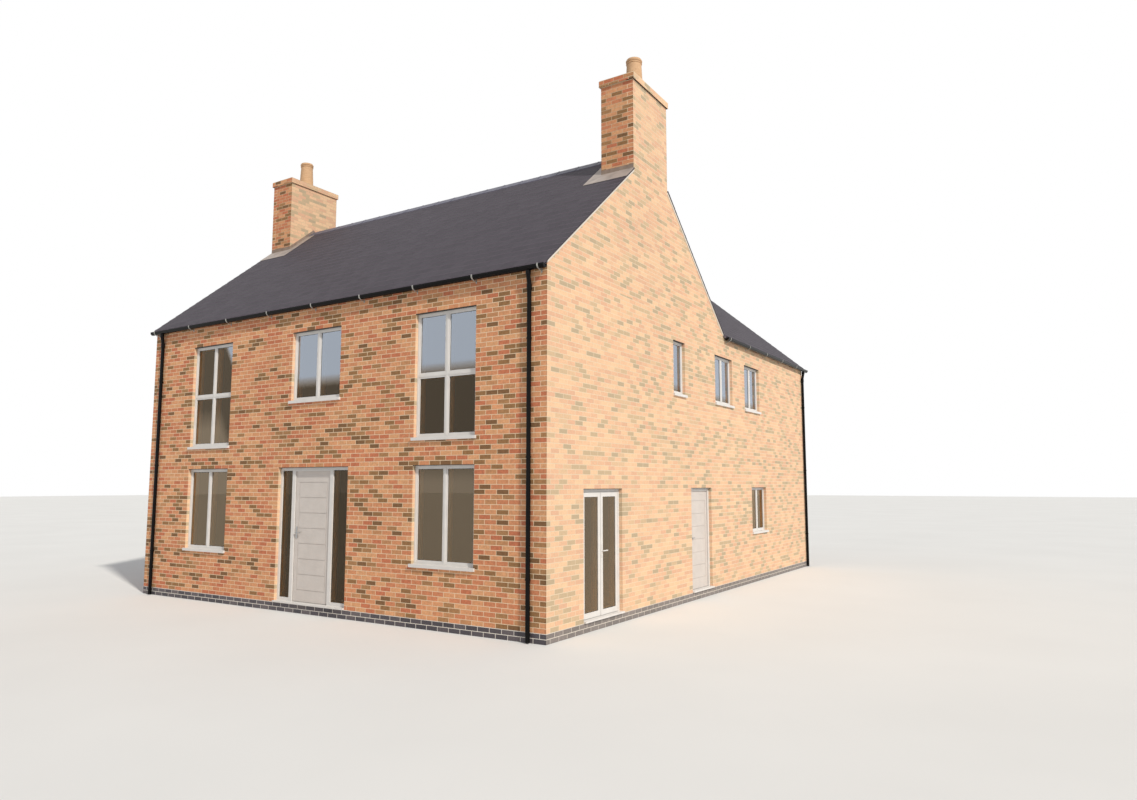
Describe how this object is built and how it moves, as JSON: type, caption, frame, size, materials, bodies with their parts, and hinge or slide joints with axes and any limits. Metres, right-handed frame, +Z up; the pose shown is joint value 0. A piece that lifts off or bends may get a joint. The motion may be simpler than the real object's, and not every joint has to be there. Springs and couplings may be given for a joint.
{
  "type": "two-storey detached brick house",
  "caption": "Two-storey detached brick house with a slate gabled roof, a rear wing, end chimneys, tall front windows and hinged doors.",
  "frame": {"origin": "on the ground, in the middle of the main range's plan", "axes": "+X to the right along the front, +Y back towards the wing, +Z up"},
  "size_m": [10.251, 13.281, 10.375],
  "materials": {
    "engineering_brick": "blue-black engineering brick with pale joints",
    "floor": "plain screed and plaster",
    "brickwork": "orange-red multi facing brick in stretcher bond, cream mortar",
    "slate": "smooth dark grey-purple slates",
    "ridge_tile": "dark blue-grey clay ridge tiles",
    "mortar": "cream mortar fillet",
    "black_metal": "black coated rainwater goods",
    "galvanised_steel": "galvanised gutter brackets",
    "clay": "buff clay pots",
    "lead": "weathered lead sheet",
    "frame_white": "satin off-white frames",
    "glazing": "clear sealed double glazing",
    "door_grey": "satin pale grey door leaf",
    "door_metal": "satin steel lever handle"
  },
  "bodies": {
    "house": {"plinth": "engineering_brick", "ground_floor": "floor", "first_floor": "floor", "upper_ceiling": "floor", "front_wall_left": "brickwork", "front_wall_over_door": "brickwork", "front_wall_right": "brickwork", "side_wall_front": "brickwork", "side_wall_over_french_doors": "brickwork", "side_wall_middle": "brickwork", "side_wall_over_side_door": "brickwork", "side_wall_rear": "brickwork", "left_gable_wall": "brickwork", "main_rear_wall": "brickwork", "wing_left_wall": "brickwork", "wing_rear_wall": "brickwork", "main_roof_front": "slate", "main_roof_rear": "slate", "wing_roof_right": "slate", "wing_roof_left": "slate", "ridge_tiles": "ridge_tile", "verge_mortar": "mortar", "gutters": "black_metal", "gutter_brackets": "galvanised_steel", "downpipes": "black_metal", "right_chimney": "brickwork", "left_chimney": "brickwork", "chimney_pots": "clay", "chimney_flashings": "lead", "front_windows": "frame_white", "side_windows": "frame_white", "rear_windows": "frame_white", "window_sills": "frame_white", "front_glass": "glazing", "side_glass": "glazing", "rear_glass": "glazing", "front_door_frame": "frame_white", "side_door_frame": "frame_white", "french_door_frame": "frame_white"},
    "front_door_body": {"front_door": "door_grey", "front_door_fittings": "door_metal"},
    "side_door_body": {"side_door": "door_grey", "side_door_fittings": "door_metal"},
    "french_front_body": {"french_leaf_front": "frame_white", "french_glass_front": "glazing", "french_front_hinges": "door_metal"},
    "french_rear_body": {"french_leaf_rear": "frame_white", "french_glass_rear": "glazing", "french_rear_fittings": "door_metal"}
  },
  "joints": [
    {"name": "front_door_hinge", "type": "hinge", "parent": "house", "child": "front_door_body", "pos_m": [0.4535, -3.342, 0], "axis": [0, 0, -1], "range_deg": [0, 90]},
    {"name": "side_door_hinge", "type": "hinge", "parent": "house", "child": "side_door_body", "pos_m": [4.897, 2.5945, 0], "axis": [0, 0, -1], "range_deg": [0, 90]},
    {"name": "french_front_hinge", "type": "hinge", "parent": "house", "child": "french_front_body", "pos_m": [4.983, -2.4045, 0], "axis": [0, 0, -1], "range_deg": [0, 95]},
    {"name": "french_rear_hinge", "type": "hinge", "parent": "house", "child": "french_rear_body", "pos_m": [4.983, -1.2715, 0], "axis": [0, 0, 1], "range_deg": [0, 95]}
  ]
}
